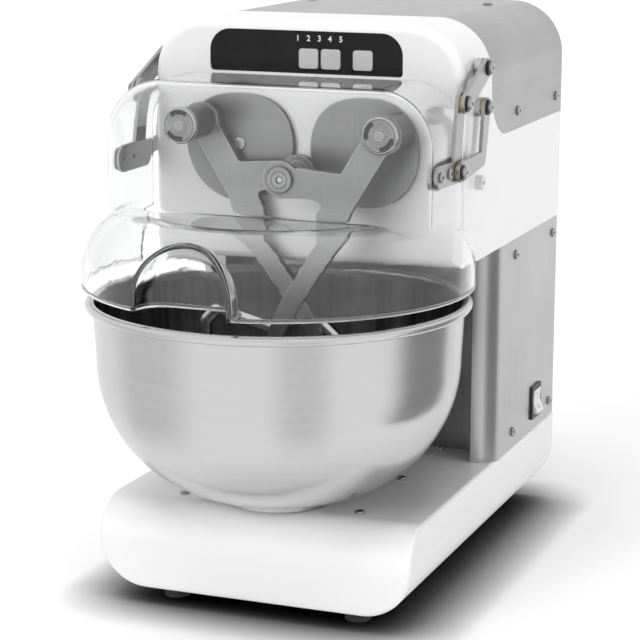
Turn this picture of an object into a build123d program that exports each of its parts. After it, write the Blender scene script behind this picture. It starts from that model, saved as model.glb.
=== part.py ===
"""Bench-top double-arm dough mixer: two crank-driven arms knead in a turning bowl under a clear lid.

X is to the machine's right as seen from the front, Y to the back, Z up. Millimetres.
The origin is on the floor under the middle of the machine's whole outline.
"""
import os
from math import acos, atan2, cos, degrees, pi, radians, sin, sqrt, tan

from build123d import *

os.makedirs("parts", exist_ok=True)

# Body
body_w = 270.0
body_depth = 416.0
foot_h = 14.0
base_h = 71.0
column_h = 189.0
head_h = 196.0
head_setback = 118.0
shell_t = 3.0
base_corner_r = 41.0
base_nose_r = 34.0
base_edge_r = 4.0
head_corner_r = 47.0
head_edge_r = 8.0

# Base furniture
foot_r = 12.0
foot_x = 80.0
foot_inset = 34.0
base_opening_margin = 74.0
base_plate_t = 2.0
base_plate_lap = 8.0
base_screw_x = 77.0
base_screw_inset = 44.5
base_screw_pitch = 103.0

# Column
wrap_t = 1.5
wing_r = 20.0
column_depth = 199.0
recess_depth = 38.0
front_plate_t = 1.5
frame_half_w = 100.0
frame_t = 4.0
back_corner_r = 4.0
panel_screw_insets = (138.0, 18.0)
panel_screw_edge = 14.5

# Steel cover over the back of the head
cover_t = 1.2
cover_setback = 78.0
cover_h = 99.5
cover_corner_r = 44.0
cover_opening_half_w = 84.0
cover_opening_margin = 22.0
cover_screw_insets = (142.0, 18.0)
cover_screw_up = 15.5
cover_top_screw_inset = 68.0
back_panel_t = 1.5
vent_count = 6
vent_pitch = 11.0
vent_w = 90.0
vent_h = 4.0

# Screws with low round heads
screw_shank_r = 2.0
screw_head_r = 4.2
screw_head_h = 2.2
screw_len = 7.0
socket_r = 1.7
socket_depth = 1.4
hole_gap = 0.1

# Power switch and inlet
switch_inset = 66.0
switch_up = 26.0
switch_w = 29.0
switch_h = 31.0
switch_flange_t = 2.0
switch_lip = 2.0
switch_depth = 20.0
switch_wall = 1.6
rocker_gap = 0.5
rocker_throw = 16.0
rocker_proud = 4.5
rocker_sink = 6.0
rocker_waist = 2.2
rocker_pin_r = 1.4
inlet_w = 28.0
inlet_h = 20.0
inlet_up = 33.0
inlet_depth = 22.0
inlet_flange = 3.5
inlet_flange_t = 2.0
inlet_wall = 2.0
inlet_blade = (2.0, 4.0, 14.0)
inlet_blade_pitch = 7.0

# Control panel
panel_half_w = 84.0
panel_drop = 42.8
panel_h = 34.4
panel_top_r = 18.0
panel_low_r = 3.0
panel_sink = 1.0
panel_t = 4.0
panel_flange = 4.0
panel_gap = 0.1
ledge_h = 5.8
ledge_sink = 1.4
button_xs = (3.0, 22.2, 49.8)
button_w = 16.8
button_h = 16.2
button_up = 12.1
button_r = 2.6
button_gap = 0.3
button_proud = 1.2
button_flange = 1.2
button_flange_t = 2.0
button_travel = 1.5
board_post_r = 3.0
board_post_x = 74.0
board_t = 1.6
board_inset = 6.0
contact_w = 6.0
contact_h = 2.0

# Twin cranks and their drive
crank_x = 55.0
crank_up = 94.3
crank_r = 36.0
crank_angle = 32.0
disc_r = 47.5
disc_t = 5.0
disc_gap = 1.0
shaft_r = 10.0
shaft_hole_r = 13.0
run_fit = 0.05
bearing_r = 19.0
bearing_plate_t = 10.0
front_plate_gap = 3.0
plate_top_gap = 3.0
gear_gap = 4.0
gear_w = 14.0
gear_teeth = 44
drive_gap = 6.0
drive_w = 12.0
drive_teeth = 60
drive_module = 2.0
pinion_teeth = 20
backlash = 0.6
rear_plate_gap = 8.0
motor_gap = 1.6
motor_len = 140.0
motor_cap_t = 12.0
motor_cap_step = 4.0
motor_shaft_gap = 1.0
shaft_over = 2.0
motor_shaft_r = 7.0
motor_hole_r = 12.0
motor_fin_count = 24
motor_fin_h = 2.0
motor_fin_w = 4.0
disc_screw_r = 5.5
disc_screw_h = 1.5

# Kneading arms
pin_r = 8.0
pin_flange_r = 12.0
pin_flange_t = 1.5
arm_gap = 0.5
arm_t = 8.0
hub_len = 44.5
hub_r = 14.0
bush_r = 10.0
eye_r = 16.0
pivot_drop = 20.7
pivot_eye_r = 15.0
arm_corner_r = 4.0
arm_yoke = ((51.5, 13.7), (11.8, 10.8), (-2.3, 35.8), (24.0, 34.6), (36.5, 37.8), (30.2, 49.3), (30.2, 67.8))
arm_elbow = (59.7, 44.5)
right_blade = ((-6.0, 131.6), (-14.5, 158.3), (-4.0, 158.3), (13.5, 126.7), (55.4, 61.8))
left_blade = ((-8.9, 131.6), (-26.0, 158.3), (-12.0, 158.3), (11.0, 126.7), (57.0, 61.8))
arm_neck_in = (12.7, 2.3)
arm_neck_out = (9.5, 5.9)
right_blade_end = 9.0
left_blade_end = 18.0
blade_end_drop = 151.3
pivot_pin_r = 6.0
pivot_head_r = 11.0
pivot_head_h = 2.6
pivot_spacer_r = 9.0
pivot_bearing_r = 10.5
tool_r = 5.0
tool_bend_r = 11.0
tool_reach_left = 52.0
tool_reach_right = 68.0
tool_drop_right = 130.3
tool_drop_left = 162.3
tool_h_right = 66.0
tool_h_left = 32.0
tool_weld_up = 9.0
tool_weld_down = 4.5
knob_r = 15.0
knob_t = 5.4
knob_gap = 0.4
knob_bore_depth = 2.6
knob_boss_r = 6.0
knob_boss_h = 0.8
knob_slot_r = 10.6
knob_slot_w = 3.6
knob_slot_angle = 62.0
knob_slot_depth = 0.8
knob_slot_apart = 77.0
left_knob_turn = 170.0
right_knob_turn = 235.0

# Bowl and its turntable
bowl_ahead = 56.0
bowl_flat_r = 32.5
bowl_bend_r = 115.0
bowl_t = 1.5
bowl_flare = 2.4
bowl_lid_gap = 11.0
bead_r = 4.0
turntable_r = 46.0
turntable_gap = 0.5
turntable_t = 4.5
spindle_r = 9.0
spindle_len = 22.0
bearing_body_r = 14.0
bearing_flange_r = 26.0
bearing_flange_t = 5.0

# Clear lid
lid_overhang = 2.0
lid_ahead = 103.0
lid_gap = 5.0
lid_drop = 44.0
lid_hang = 9.0
lid_t = 3.0
lid_corner_r = 45.0
lid_edge_r = 24.0
skirt_r = 158.0
shelf_up = 61.0
shoulder_r = 48.0
cove_r = 9.0
niche_left = 18.0
niche_r = 40.0
niche_spring_up = 11.0
niche_depth = 36.0
niche_back_r = 24.0

# Lid linkage: distances back from the head's front, and up from its underside
upper_head_back = 36.0
upper_head_up = 160.0
lower_head_back = 36.0
lower_head_up = 128.4
upper_lid_ahead = 19.0
upper_lid_up = 137.0
lower_lid_ahead = 29.0
lower_lid_up = 84.0
link_corner_back = 27.0
link_corner_up = 88.0
front_screw_ahead = 70.0
rear_screw_ahead = 48.0
lid_screw_up = 85.4
clamp_rear_ahead = 26.0
clamp_front_ahead = 67.0
bumper_back = 40.0
bumper_up = 66.0
link_t = 3.0
link_end_r = 8.0
link_bar_r = 6.0
bracket_t = 3.0
bracket_r = 9.0
clamp_r = 11.0
washer_r = 7.0
washer_t = 1.2
spacer_r = 6.4
spacer_t = 1.0
link_gap = 0.3
stud_r = 3.0
stud_head_r = 5.0
stud_head_h = 2.8
standoff_r = 8.0
bumper_r = 6.0
bumper_len = 6.0
bumper_hole_r = 2.2

# Places that follow from the sizes above
half_w = body_w / 2
base_front = -body_depth / 2
back = body_depth / 2
base_bottom = foot_h
base_top = foot_h + base_h
head_bottom = base_top + column_h
head_top = head_bottom + head_h
head_front = base_front + head_setback
wing_front = back - column_depth
switch_y = back - switch_inset
switch_z = base_top + switch_up
inlet_z = base_top + inlet_up
cover_front = head_front + cover_setback
cover_low = head_top - cover_h
panel_low = head_top - panel_drop
crank_z = head_bottom + crank_up
gear_module = 2 * crank_x / gear_teeth
pivot_z = crank_z - pivot_drop
blade_end_z = crank_z - blade_end_drop
lid_half_w = half_w + lid_overhang
lid_front = head_front - lid_ahead
lid_top = head_top - lid_drop
lid_low = head_bottom - lid_hang
shelf_z = lid_low + shelf_up
bowl_y = head_front - bowl_ahead
bowl_low = base_top + turntable_gap + turntable_t
bowl_wall_top = lid_low - bowl_lid_gap - bead_r
niche_x = -niche_left
niche_spring_z = lid_low + niche_spring_up
niche_back = bowl_y - skirt_r + niche_depth
upper_head_pivot = (head_front + upper_head_back, head_bottom + upper_head_up)
lower_head_pivot = (head_front + lower_head_back, head_bottom + lower_head_up)
upper_lid_pivot = (head_front - upper_lid_ahead, head_bottom + upper_lid_up)
lower_lid_pivot = (head_front - lower_lid_ahead, head_bottom + lower_lid_up)
lower_link_corner = (head_front + link_corner_back, head_bottom + link_corner_up)
lid_screw_points = [
    (head_front - ahead, head_bottom + lid_screw_up) for ahead in (front_screw_ahead, rear_screw_ahead)
]
clamp_points = [
    (head_front - ahead, head_bottom + lid_screw_up) for ahead in (clamp_rear_ahead, clamp_front_ahead)
]
bumper_point = (head_front + bumper_back, head_bottom + bumper_up)
knob_x = crank_x + crank_r * cos(radians(crank_angle))
knob_z = crank_z + crank_r * sin(radians(crank_angle))
disc_back = head_front - disc_gap
disc_front = disc_back - disc_t
hub_back = disc_front - pin_flange_t - arm_gap
hub_front = hub_back - hub_len
knob_back = hub_front - knob_gap
left_plate_back = hub_back
right_plate_back = hub_front + arm_t
bearing_front = head_front + shell_t + front_plate_gap
bearing_back = bearing_front + bearing_plate_t
gear_front = bearing_back + gear_gap
drive_front = gear_front + gear_w + drive_gap
rear_bearing_front = drive_front + drive_w + rear_plate_gap
rear_bearing_back = rear_bearing_front + bearing_plate_t
shaft_end = rear_bearing_back + shaft_over
drive_distance = drive_module * (drive_teeth + pinion_teeth) / 2
motor_x = 0.0
motor_z = crank_z + sqrt(drive_distance**2 - crank_x**2)
motor_r = head_top - shell_t - motor_gap - motor_z
lid_back = head_front - lid_gap
outline_front = bowl_y - sqrt(skirt_r**2 - (niche_r - niche_left) ** 2)
outline_back = back + screw_head_h
outline_middle = (outline_front + outline_back) / 2
bracket_out = lid_half_w + bracket_t
link_in = bracket_out + washer_t + link_gap
link_out = link_in + link_t
spacer_in = link_out + link_gap
stud_head_in = spacer_in + spacer_t


def save(part, name):
    """Moves a finished piece so that the machine's outline is centred, names it and writes it out."""
    placed = part.moved(Location((0, -outline_middle, 0)))
    placed.label = name
    export_step(placed, f"parts/{name}.step")


def front_plane(y):
    """Plane facing the front at depth y, drawn in X and Z."""
    return Plane(origin=(0, y, 0), x_dir=(1, 0, 0), z_dir=(0, -1, 0))


def side_plane(x):
    """Plane facing the right at x, drawn in Y and Z."""
    return Plane(origin=(x, 0, 0), x_dir=(0, 1, 0), z_dir=(1, 0, 0))


def front_outline(y, half_width, bottom, top, top_r):
    """Front outline of a body: square at the bottom, round at the top corners."""
    with BuildSketch(front_plane(y)) as outline:
        with Locations((0, (bottom + top) / 2)):
            Rectangle(2 * half_width, top - bottom)
        fillet(outline.vertices().group_by(Axis.Y)[-1], top_r)
    return outline.sketch


def turned(x, z, steps):
    """Round piece along Y at (x, z), from steps of (back, front, radius)."""
    with BuildPart() as piece:
        for step_back, step_front, radius in steps:
            with BuildSketch(front_plane(step_back)):
                with Locations((x, z)):
                    Circle(radius)
            extrude(amount=step_back - step_front)
    return piece.part


def side_turned(point, steps):
    """Round piece along X at point (y, z), from steps of (inner x, outer x, radius)."""
    with BuildPart() as piece:
        for x_in, x_out, radius in steps:
            with BuildSketch(side_plane(x_in)):
                with Locations(point):
                    Circle(radius)
            extrude(amount=x_out - x_in)
    return piece.part


def bar(start, start_r, end, end_r):
    """Flat bar with round ends, as a sketch."""
    with BuildSketch() as shape:
        with Locations(start):
            Circle(start_r)
        with Locations(end):
            Circle(end_r)
        make_hull()
    return shape.sketch


def button_screw(place):
    """Low round-head socket screw whose head sits on the plane place, pointing into it."""
    with BuildPart() as screw:
        with BuildSketch(place):
            Circle(screw_head_r)
        extrude(amount=screw_head_h)
        fillet(screw.faces().sort_by(Axis(place.origin, place.z_dir))[-1].edges(), screw_head_h * 0.6)
        with BuildSketch(place):
            Circle(screw_shank_r)
        extrude(amount=-screw_len)
        with BuildSketch(place.offset(screw_head_h)):
            RegularPolygon(socket_r, 6)
        extrude(amount=-socket_depth, mode=Mode.SUBTRACT)
    return screw.part


def both_sides(part):
    """A piece and its mirror image on the other side of the machine."""
    with BuildPart() as pair:
        add(part)
        mirror(about=Plane.YZ)
    return pair.part


# Base
def base_form(inset):
    """Base block with round lower corners and a round nose, all walls moved in by inset."""
    low = base_bottom + inset
    top = base_top - inset
    front = base_front + inset
    with BuildPart() as form:
        with BuildSketch(front_plane(back - inset)) as outline:
            with Locations((0, (low + top) / 2)):
                Rectangle(body_w - 2 * inset, top - low)
            fillet(outline.vertices().group_by(Axis.Y)[0], base_corner_r - inset)
        extrude(amount=body_depth - 2 * inset)
        with BuildSketch(side_plane(-half_w)) as side:
            with Locations(((front + back - inset) / 2, (low + top) / 2)):
                Rectangle(body_depth - 2 * inset, top - low)
            nose = side.vertices().group_by(Axis.X)[0].sort_by(Axis.Y)[-1]
            fillet(nose, base_nose_r - inset)
        extrude(amount=body_w, mode=Mode.INTERSECT)
    return form.part


def on_base_rim(edge):
    """True for the edges of the base's sides and front that a hand would feel as sharp."""
    middle = edge.center()
    on_side = abs(abs(middle.X) - half_w) < 0.01
    smooth = edge.geom_type == GeomType.LINE and abs(middle.Z - base_bottom - base_corner_r) < 0.01
    on_front = abs(middle.Y - base_front) < 0.01
    front_seam = edge.geom_type == GeomType.LINE and abs(middle.Z - base_top + base_nose_r) < 0.01
    at_back = abs(middle.Y - back) < 0.01
    return not at_back and ((on_side and not smooth) or (on_front and not front_seam))


base_screw_rows = [base_front + base_screw_inset + row * base_screw_pitch for row in range(3)]
base_screw_points = [(x, y) for x in (-base_screw_x, base_screw_x) for y in base_screw_rows]
foot_ys = (base_front + foot_inset, back - foot_inset)

with BuildPart() as base_shell:
    add(base_form(0))
    fillet(base_shell.edges().filter_by(on_base_rim), base_edge_r)
    add(base_form(shell_t), mode=Mode.SUBTRACT)
    opening_w = body_w - 2 * base_opening_margin
    opening_l = body_depth - 2 * base_opening_margin
    with BuildSketch(Plane.XY.offset(base_bottom)):
        RectangleRounded(opening_w, opening_l, base_plate_lap)
    extrude(amount=shell_t, mode=Mode.SUBTRACT)
    with BuildSketch(Plane.XY.offset(base_top)):
        with Locations((0, bowl_y)):
            Circle(bearing_body_r)
        with Locations(*base_screw_points):
            Circle(screw_shank_r + hole_gap)
    extrude(amount=-shell_t, mode=Mode.SUBTRACT)
save(base_shell.part, "base_shell")

with BuildPart() as base_plate:
    with BuildSketch(Plane.XY.offset(base_bottom + shell_t)):
        RectangleRounded(opening_w + 2 * base_plate_lap, opening_l + 2 * base_plate_lap, base_plate_lap)
    extrude(amount=base_plate_t)
save(base_plate.part, "base_plate")

with BuildPart() as feet:
    for foot_y in foot_ys:
        with BuildSketch(Plane.XY.offset(base_bottom)):
            with Locations((-foot_x, foot_y), (foot_x, foot_y)):
                Circle(foot_r)
        extrude(amount=-foot_h, taper=6)
save(feet.part, "feet")

with BuildPart() as base_screws:
    for point in base_screw_points:
        add(button_screw(Plane(origin=(*point, base_top))))
save(base_screws.part, "base_screws")

with BuildPart() as bowl_bearing:
    with BuildSketch(Plane.XY.offset(base_top)):
        with Locations((0, bowl_y)):
            Circle(bearing_body_r)
    extrude(amount=-shell_t)
    with BuildSketch(Plane.XY.offset(base_top - shell_t)):
        with Locations((0, bowl_y)):
            Circle(bearing_flange_r)
    extrude(amount=-bearing_flange_t)
    with BuildSketch(Plane.XY.offset(base_top)):
        with Locations((0, bowl_y)):
            Circle(spindle_r + run_fit)
    extrude(amount=-shell_t - bearing_flange_t, mode=Mode.SUBTRACT)
save(bowl_bearing.part, "bowl_bearing")

# Bowl and turntable
bowl_axis = Axis((0, bowl_y, 0), (0, 0, 1))
bowl_wall_r = bowl_flat_r + bowl_bend_r
bowl_bend_z = bowl_low + bowl_bend_r

with BuildPart() as turntable:
    with BuildSketch(Plane.XY.offset(base_top + turntable_gap)):
        with Locations((0, bowl_y)):
            Circle(turntable_r)
    extrude(amount=turntable_t)
    with BuildSketch(Plane.XY.offset(base_top + turntable_gap)):
        with Locations((0, bowl_y)):
            Circle(spindle_r)
    extrude(amount=-spindle_len)
save(turntable.part, "turntable")

with BuildPart() as bowl:
    with BuildSketch(front_plane(bowl_y)):
        with BuildLine():
            Line((0, bowl_low), (bowl_flat_r, bowl_low))
            CenterArc((bowl_flat_r, bowl_bend_z), bowl_bend_r, -90, 90)
            Line((bowl_wall_r, bowl_bend_z), (bowl_wall_r + bowl_flare, bowl_wall_top))
            Line((bowl_wall_r + bowl_flare, bowl_wall_top), (bowl_wall_r + bowl_flare - bowl_t, bowl_wall_top))
            Line((bowl_wall_r + bowl_flare - bowl_t, bowl_wall_top), (bowl_wall_r - bowl_t, bowl_bend_z))
            CenterArc((bowl_flat_r, bowl_bend_z), bowl_bend_r - bowl_t, -90, 90)
            Line((bowl_flat_r, bowl_low + bowl_t), (0, bowl_low + bowl_t))
            Line((0, bowl_low + bowl_t), (0, bowl_low))
        make_face()
        with Locations((bowl_wall_r + bowl_flare + bead_r / 2, bowl_wall_top)):
            Circle(bead_r)
    revolve(axis=bowl_axis)
save(bowl.part, "bowl")

# Column
recess_y = wing_front + recess_depth
frame_front = recess_y + front_plate_t
panel_screw_zs = (base_top + panel_screw_edge, head_bottom - panel_screw_edge)
panel_screw_points = [(back - inset, z) for inset in panel_screw_insets for z in panel_screw_zs]
switch_hole_w = switch_w - 2 * switch_lip
switch_hole_h = switch_h - 2 * switch_lip
inlet_hole_w = inlet_w - 2 * inlet_flange
inlet_hole_h = inlet_h - 2 * inlet_flange


def wrap_outline(inset):
    """Plan of the column's steel wrap, moved in by inset."""
    with BuildSketch() as plan:
        with Locations((0, (wing_front + back) / 2)):
            Rectangle(body_w - 2 * inset, back - wing_front - 2 * inset)
        fillet(plan.vertices().group_by(Axis.Y)[0], wing_r - inset)
        fillet(plan.vertices().group_by(Axis.Y)[-1], back_corner_r - inset)
    return plan.sketch


with BuildPart() as column_wrap:
    with BuildSketch(Plane.XY.offset(base_top)):
        add(wrap_outline(0))
        add(wrap_outline(wrap_t), mode=Mode.SUBTRACT)
        with Locations((0, wing_front)):
            Rectangle(body_w - 2 * wing_r, 2 * wing_r, mode=Mode.SUBTRACT)
    extrude(amount=column_h)
    with BuildSketch(side_plane(-half_w)):
        with Locations(*panel_screw_points):
            Circle(screw_shank_r + hole_gap)
    extrude(amount=body_w, mode=Mode.SUBTRACT)
    with BuildSketch(side_plane(half_w)):
        with Locations((switch_y, switch_z)):
            Rectangle(switch_hole_w, switch_hole_h)
    extrude(amount=-2 * wrap_t, mode=Mode.SUBTRACT)
    with BuildSketch(front_plane(back)):
        with Locations((0, inlet_z)):
            Rectangle(inlet_hole_w, inlet_hole_h)
    extrude(amount=2 * wrap_t, mode=Mode.SUBTRACT)
save(column_wrap.part, "column_wrap")

with BuildPart() as column_front_plate:
    with BuildSketch(Plane.XY.offset(base_top)):
        with Locations((0, recess_y + front_plate_t / 2)):
            Rectangle(body_w - 2 * wrap_t, front_plate_t)
    extrude(amount=column_h)
save(column_front_plate.part, "column_front_plate")

frame_back = back - wrap_t - inlet_depth - shell_t

with BuildPart() as column_frame:
    with BuildSketch(Plane.XY.offset(base_top)):
        with Locations((0, (frame_front + frame_back) / 2)):
            Rectangle(2 * frame_half_w, frame_back - frame_front)
            Rectangle(2 * (frame_half_w - frame_t), frame_back - frame_front - 2 * frame_t, mode=Mode.SUBTRACT)
    extrude(amount=column_h)
save(column_frame.part, "column_frame")

# Power switch, its rocker tilted so that the lower half stands out
rocker_half_w = switch_hole_w / 2 - switch_wall - rocker_gap
rocker_half_h = switch_hole_h / 2 - switch_wall - 2 * rocker_gap
rocker_pin_reach = rocker_half_w + rocker_gap + switch_wall / 2

with BuildPart() as switch_frame:
    with BuildSketch(side_plane(half_w)):
        with Locations((switch_y, switch_z)):
            RectangleRounded(switch_w, switch_h, switch_lip)
    extrude(amount=switch_flange_t)
    with BuildSketch(side_plane(half_w)):
        with Locations((switch_y, switch_z)):
            Rectangle(switch_hole_w, switch_hole_h)
    extrude(amount=-switch_depth)
    with BuildSketch(side_plane(half_w + switch_flange_t)):
        with Locations((switch_y, switch_z)):
            Rectangle(switch_hole_w - 2 * switch_wall, switch_hole_h - 2 * switch_wall)
    extrude(amount=-switch_flange_t - switch_depth + switch_wall, mode=Mode.SUBTRACT)
    with BuildSketch(front_plane(switch_y + rocker_pin_reach + run_fit)):
        with Locations((half_w, switch_z)):
            Circle(rocker_pin_r + run_fit)
    extrude(amount=2 * (rocker_pin_reach + run_fit), mode=Mode.SUBTRACT)
save(switch_frame.part, "switch_frame")

with BuildPart() as switch_rocker:
    with BuildSketch(front_plane(switch_y + rocker_half_w)):
        with Locations(Location((half_w, switch_z), rocker_throw / 2)):
            Polygon(
                (-rocker_sink, -rocker_half_h),
                (rocker_proud, -rocker_half_h),
                (rocker_waist, 0),
                (rocker_proud, rocker_half_h),
                (-rocker_sink, rocker_half_h),
                align=None,
            )
    extrude(amount=2 * rocker_half_w)
    with BuildSketch(front_plane(switch_y + rocker_pin_reach)):
        with Locations((half_w, switch_z)):
            Circle(rocker_pin_r)
    extrude(amount=2 * rocker_pin_reach)
save(switch_rocker.part, "switch_rocker")

with BuildPart() as power_inlet:
    with BuildSketch(front_plane(back)):
        with Locations((0, inlet_z)):
            RectangleRounded(inlet_w, inlet_h, inlet_flange)
    extrude(amount=-inlet_flange_t)
    with BuildSketch(front_plane(back)):
        with Locations((0, inlet_z)):
            Rectangle(inlet_hole_w, inlet_hole_h)
    extrude(amount=inlet_depth)
    with BuildSketch(front_plane(back + inlet_flange_t)):
        with Locations((0, inlet_z)):
            Rectangle(inlet_hole_w - 2 * inlet_wall, inlet_hole_h - 2 * inlet_wall)
    extrude(amount=inlet_flange_t + inlet_depth - inlet_wall, mode=Mode.SUBTRACT)
    with BuildSketch(front_plane(back - inlet_depth + inlet_wall)):
        with Locations((0, inlet_z)):
            with GridLocations(inlet_blade_pitch, 0, 3, 1):
                Rectangle(inlet_blade[0], inlet_blade[1])
    extrude(amount=-inlet_blade[2])
save(power_inlet.part, "power_inlet")

# Head shell, steel cover and back panel
cover_screw_points = [(back - inset, cover_low + cover_screw_up) for inset in cover_screw_insets]
cover_top_x = half_w - head_corner_r - screw_head_r
cover_top_points = [(x, back - cover_top_screw_inset) for x in (-cover_top_x, cover_top_x)]

with BuildPart() as head_cover:
    extrude(to_extrude=front_outline(back, half_w, head_bottom, head_top, head_corner_r), amount=back - cover_front)
    extrude(
        to_extrude=front_outline(
            back, half_w - cover_t, head_bottom, head_top - cover_t, head_corner_r - cover_t
        ),
        amount=back - cover_front,
        mode=Mode.SUBTRACT,
    )
    with BuildSketch(side_plane(-half_w)) as cover_side:
        with Locations(((cover_front + back) / 2, (cover_low + head_top) / 2)):
            Rectangle(back - cover_front, head_top - cover_low)
        fillet(cover_side.vertices().group_by(Axis.X)[0].sort_by(Axis.Y)[0], cover_corner_r)
    extrude(amount=body_w, mode=Mode.INTERSECT)
    cover_blank = head_cover.part
    with BuildSketch(side_plane(-half_w)):
        with Locations(*cover_screw_points):
            Circle(screw_shank_r + hole_gap)
    extrude(amount=body_w, mode=Mode.SUBTRACT)
    with BuildSketch(Plane.XY.offset(head_top)):
        with Locations(*cover_top_points):
            Circle(screw_shank_r + hole_gap)
    extrude(amount=-head_corner_r, mode=Mode.SUBTRACT)
save(head_cover.part, "head_cover")

panel_mid = panel_low + panel_h / 2


def panel_outline(grow):
    """Outline of the control panel, grown by grow."""
    with BuildSketch() as outline:
        with Locations((0, panel_mid)):
            Rectangle(2 * (panel_half_w + grow), panel_h + 2 * grow)
        fillet(outline.vertices().group_by(Axis.Y)[0], panel_low_r + grow)
        fillet(outline.vertices().group_by(Axis.Y)[-1], panel_top_r + grow)
    return outline.sketch


with BuildPart() as head_shell:
    extrude(to_extrude=front_outline(back, half_w, head_bottom, head_top, head_corner_r), amount=back - head_front)
    fillet(head_shell.edges().group_by(Axis.Y)[0], head_edge_r)
    extrude(
        to_extrude=front_outline(
            back, half_w - shell_t, head_bottom + shell_t, head_top - shell_t, head_corner_r - shell_t
        ),
        amount=back - head_front - shell_t,
        mode=Mode.SUBTRACT,
    )
    add(cover_blank, mode=Mode.SUBTRACT)
    with BuildSketch(front_plane(head_front)):
        add(panel_outline(panel_gap))
        with Locations((-crank_x, crank_z), (crank_x, crank_z)):
            Circle(shaft_hole_r)
    extrude(amount=-shell_t, mode=Mode.SUBTRACT)
    with BuildSketch(Plane.XY.offset(head_top)):
        opening_front = cover_front + cover_opening_margin
        opening_back = back - cover_opening_margin
        with Locations((0, (opening_front + opening_back) / 2)):
            RectangleRounded(2 * cover_opening_half_w, opening_back - opening_front, cover_opening_margin)
    extrude(amount=-shell_t, mode=Mode.SUBTRACT)
    with BuildSketch(side_plane(-half_w)):
        with Locations(*cover_screw_points):
            Circle(screw_shank_r + hole_gap)
        with Locations(upper_head_pivot, lower_head_pivot, bumper_point):
            Circle(stud_r)
    extrude(amount=body_w, mode=Mode.SUBTRACT)
    with BuildSketch(Plane.XY.offset(head_top)):
        with Locations(*cover_top_points):
            Circle(screw_shank_r + hole_gap)
    extrude(amount=-head_corner_r, mode=Mode.SUBTRACT)
save(head_shell.part, "head_shell")

back_screw_points = [
    (side * (half_w - head_corner_r), z)
    for side in (-1, 1)
    for z in (head_bottom + 4 * shell_t, head_top - 5 * shell_t)
]

with BuildPart() as head_back_panel:
    extrude(
        to_extrude=front_outline(
            back, half_w - shell_t, head_bottom + shell_t, head_top - shell_t, head_corner_r - shell_t
        ),
        amount=back_panel_t,
    )
    with BuildSketch(front_plane(back)):
        with Locations((0, (head_bottom + head_top) / 2)):
            with GridLocations(0, vent_pitch, 1, vent_count):
                SlotOverall(vent_w, vent_h)
        with Locations(*back_screw_points):
            Circle(screw_shank_r + hole_gap)
    extrude(amount=back_panel_t, mode=Mode.SUBTRACT)
save(head_back_panel.part, "head_back_panel")

with BuildPart() as case_screws:
    for y, z in panel_screw_points + cover_screw_points:
        for side in (-1, 1):
            add(button_screw(Plane(origin=(side * half_w, y, z), x_dir=(0, 1, 0), z_dir=(side, 0, 0))))
    for x, y in cover_top_points:
        add(button_screw(Plane(origin=(x, y, head_top))))
    for x, z in back_screw_points:
        add(button_screw(Plane(origin=(x, back, z), x_dir=(1, 0, 0), z_dir=(0, 1, 0))))
save(case_screws.part, "case_screws")

# Control panel, buttons and the board behind them
panel_front = head_front + panel_sink
panel_back = panel_front + panel_t
button_z = panel_low + button_up
button_front = panel_front - button_proud
button_back = panel_back + button_gap + button_flange_t
board_front = button_back + button_travel + button_gap + contact_h
button_points = [(x, button_z) for x in button_xs]
post_points = [(x, panel_mid) for x in (-board_post_x, board_post_x)]

with BuildPart() as control_panel:
    with BuildSketch(front_plane(panel_back)):
        add(panel_outline(0))
    extrude(amount=panel_t)
    with BuildSketch(front_plane(panel_back)):
        add(panel_outline(panel_flange))
    extrude(amount=panel_back - head_front - shell_t)
    with BuildSketch(front_plane(panel_front)):
        with Locations((0, panel_low + ledge_h / 2)):
            Rectangle(2 * panel_half_w, ledge_h)
    extrude(amount=-ledge_sink, mode=Mode.SUBTRACT)
    with BuildSketch(front_plane(panel_back)):
        with Locations(*post_points):
            Circle(board_post_r)
    extrude(amount=panel_back - board_front)
    with BuildSketch(front_plane(panel_back)):
        with Locations(*button_points):
            RectangleRounded(button_w + 2 * button_gap, button_h + 2 * button_gap, button_r + button_gap)
    extrude(amount=panel_t, mode=Mode.SUBTRACT)
save(control_panel.part, "control_panel")

for number, point in enumerate(button_points, start=1):
    with BuildPart() as button:
        with BuildSketch(front_plane(button_back)):
            with Locations(point):
                RectangleRounded(button_w, button_h, button_r)
        extrude(amount=button_back - button_front)
        fillet(button.faces().sort_by(Axis.Y)[0].edges(), button_proud / 2)
        with BuildSketch(front_plane(button_back)):
            with Locations(point):
                RectangleRounded(button_w + 2 * button_flange, button_h + 2 * button_flange, button_r)
        extrude(amount=button_flange_t)
    save(button.part, f"button_{number}")

with BuildPart() as control_board:
    with BuildSketch(front_plane(board_front + board_t)):
        with Locations((0, panel_mid)):
            Rectangle(2 * (panel_half_w - board_inset), panel_h - 2 * board_inset)
    extrude(amount=board_t)
    with BuildSketch(front_plane(board_front)):
        with Locations(*button_points):
            Rectangle(contact_w, contact_w)
    extrude(amount=contact_h)
save(control_board.part, "control_board")

# Bearing plates, bearings and motor
plate_low = head_bottom + shell_t
plate_top = panel_low - plate_top_gap
plate_half_w = half_w - shell_t
crank_points = [(-crank_x, crank_z), (crank_x, crank_z)]


def bearing_plate(y_back):
    """Plate across the head with the two bearing seats."""
    with BuildPart() as plate:
        with BuildSketch(front_plane(y_back)):
            with Locations((0, (plate_low + plate_top) / 2)):
                Rectangle(2 * plate_half_w, plate_top - plate_low)
            with Locations(*crank_points):
                Circle(bearing_r, mode=Mode.SUBTRACT)
        extrude(amount=bearing_plate_t)
        corner_edges = plate.edges().filter_by(Axis.Y).sort_by(Axis.Z)[-2:]
        chamfer(corner_edges, head_corner_r / 3)
    return plate.part


save(bearing_plate(bearing_back), "front_bearing_plate")

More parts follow.
